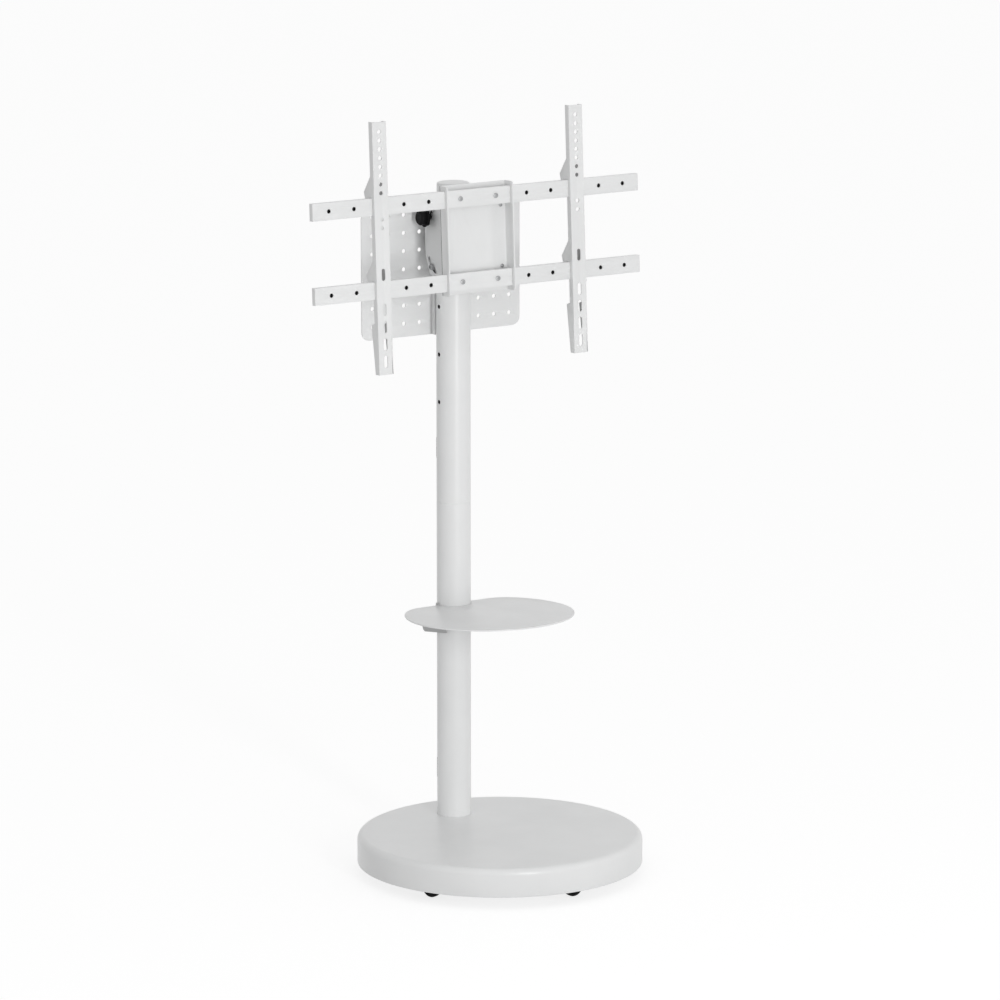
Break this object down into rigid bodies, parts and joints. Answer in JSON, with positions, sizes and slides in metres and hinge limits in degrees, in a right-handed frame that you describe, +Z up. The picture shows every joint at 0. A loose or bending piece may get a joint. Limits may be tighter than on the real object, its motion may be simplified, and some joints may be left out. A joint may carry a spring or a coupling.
{
  "type": "tv stand with mount",
  "caption": "Rolling stand with a round weighted base, a tall round column, an oval shelf, a perforated equipment plate and a tilting screen mount with hooked arms.",
  "frame": {"origin": "on the floor under the centre of the round base", "axes": "+Z up, the screen faces -Y, +X to the right of someone who looks at the screen"},
  "size_m": [0.665, 0.5, 1.331],
  "materials": {
    "white_coat": "light grey-white powder coat, satin",
    "black_plastic": "black moulded plastic, satin",
    "rubber": "black rubber, matt",
    "steel": "zinc plated steel"
  },
  "bodies": {
    "frame": {"base_cover": "white_coat", "base_plate": "steel", "foot_stud_ring": "steel", "caster_1_mount": "steel", "caster_2_mount": "steel", "caster_3_mount": "steel", "caster_4_mount": "steel", "caster_5_mount": "steel", "column_lower": "white_coat", "column_upper": "white_coat", "column_joiner": "steel", "joiner_screw": "steel", "column_cap": "white_coat", "cable_grommet_upper": "black_plastic", "cable_grommet_lower": "black_plastic", "shelf_plate": "white_coat", "shelf_bracket": "white_coat", "shelf_screw_1": "steel", "shelf_screw_2": "steel", "shelf_bracket_bolt": "steel"},
    "caster_1_swivel": {"caster_1_fork": "black_plastic"},
    "caster_1_wheel": {"caster_1_wheel": "rubber"},
    "caster_2_swivel": {"caster_2_fork": "black_plastic"},
    "caster_2_wheel": {"caster_2_wheel": "rubber"},
    "caster_3_swivel": {"caster_3_fork": "black_plastic"},
    "caster_3_wheel": {"caster_3_wheel": "rubber"},
    "caster_4_swivel": {"caster_4_fork": "black_plastic"},
    "caster_4_wheel": {"caster_4_wheel": "rubber"},
    "caster_5_swivel": {"caster_5_fork": "black_plastic"},
    "caster_5_wheel": {"caster_5_wheel": "rubber"},
    "carriage": {"carriage_sleeve": "white_coat", "carriage_liner_lower": "black_plastic", "carriage_liner_upper": "black_plastic", "height_lock_bolt": "steel", "tilt_pivot_pin": "steel", "tilt_lock_bolt_left": "steel", "tilt_lock_bolt_right": "steel", "av_plate": "white_coat", "av_channel": "white_coat", "av_screw_1": "steel", "av_screw_2": "steel"},
    "tilt_knob": {"tilt_knob": "black_plastic", "tilt_knob_stud": "steel"},
    "head": {"tray": "white_coat", "tilt_ear_left": "white_coat", "tilt_ear_right": "white_coat", "tray_screw_1": "steel", "tray_screw_2": "steel", "tray_screw_3": "steel", "tray_screw_4": "steel", "crossbar_upper": "white_coat", "crossbar_lower": "white_coat", "bar_screw_1": "steel", "bar_screw_2": "steel", "bar_screw_3": "steel", "bar_screw_4": "steel"},
    "arm_left": {"arm_left": "white_coat", "arm_bolt_left": "steel"},
    "arm_right": {"arm_right": "white_coat", "arm_bolt_right": "steel"}
  },
  "joints": [
    {"name": "caster_1_swivel_turn", "type": "hinge", "parent": "frame", "child": "caster_1_swivel", "pos_m": [0, -0.206, 0.04], "axis": [0, 0, 1], "continuous": true},
    {"name": "caster_1_wheel_roll", "type": "hinge", "parent": "caster_1_swivel", "child": "caster_1_wheel", "pos_m": [0.017, -0.206, 0.018], "axis": [0, 1, 0], "continuous": true},
    {"name": "caster_2_swivel_turn", "type": "hinge", "parent": "frame", "child": "caster_2_swivel", "pos_m": [0.19592, -0.06366, 0.04], "axis": [0, 0, 1], "continuous": true},
    {"name": "caster_2_wheel_roll", "type": "hinge", "parent": "caster_2_swivel", "child": "caster_2_wheel", "pos_m": [0.20117, -0.04749, 0.018], "axis": [-0.9511, 0.309, 0], "continuous": true},
    {"name": "caster_3_swivel_turn", "type": "hinge", "parent": "frame", "child": "caster_3_swivel", "pos_m": [0.12108, 0.16666, 0.04], "axis": [0, 0, 1], "continuous": true},
    {"name": "caster_3_wheel_roll", "type": "hinge", "parent": "caster_3_swivel", "child": "caster_3_wheel", "pos_m": [0.10733, 0.17665, 0.018], "axis": [-0.5878, -0.809, 0], "continuous": true},
    {"name": "caster_4_swivel_turn", "type": "hinge", "parent": "frame", "child": "caster_4_swivel", "pos_m": [-0.12108, 0.16666, 0.04], "axis": [0, 0, 1], "continuous": true},
    {"name": "caster_4_wheel_roll", "type": "hinge", "parent": "caster_4_swivel", "child": "caster_4_wheel", "pos_m": [-0.13484, 0.15666, 0.018], "axis": [0.5878, -0.809, 0], "continuous": true},
    {"name": "caster_5_swivel_turn", "type": "hinge", "parent": "frame", "child": "caster_5_swivel", "pos_m": [-0.19592, -0.06366, 0.04], "axis": [0, 0, 1], "continuous": true},
    {"name": "caster_5_wheel_roll", "type": "hinge", "parent": "caster_5_swivel", "child": "caster_5_wheel", "pos_m": [-0.19066, -0.07982, 0.018], "axis": [0.9511, 0.309, 0], "continuous": true},
    {"name": "height_slide", "type": "slide", "parent": "frame", "child": "carriage", "axis": [0, 0, 1], "range_m": [-0.337, 0]},
    {"name": "screen_tilt", "type": "hinge", "parent": "carriage", "child": "head", "pos_m": [0, 0.105, 1.1114], "axis": [-1, 0, 0], "range_deg": [-8, 12]},
    {"name": "tilt_knob_turn", "type": "hinge", "parent": "carriage", "child": "tilt_knob", "pos_m": [-0.05, 0.1625, 1.142], "axis": [-1, 0, 0], "continuous": true},
    {"name": "arm_left_slide", "type": "slide", "parent": "head", "child": "arm_left", "axis": [-1, 0, 0], "range_m": [-0.1, 0.1]},
    {"name": "arm_right_slide", "type": "slide", "parent": "head", "child": "arm_right", "axis": [1, 0, 0], "range_m": [-0.1, 0.1]}
  ]
}
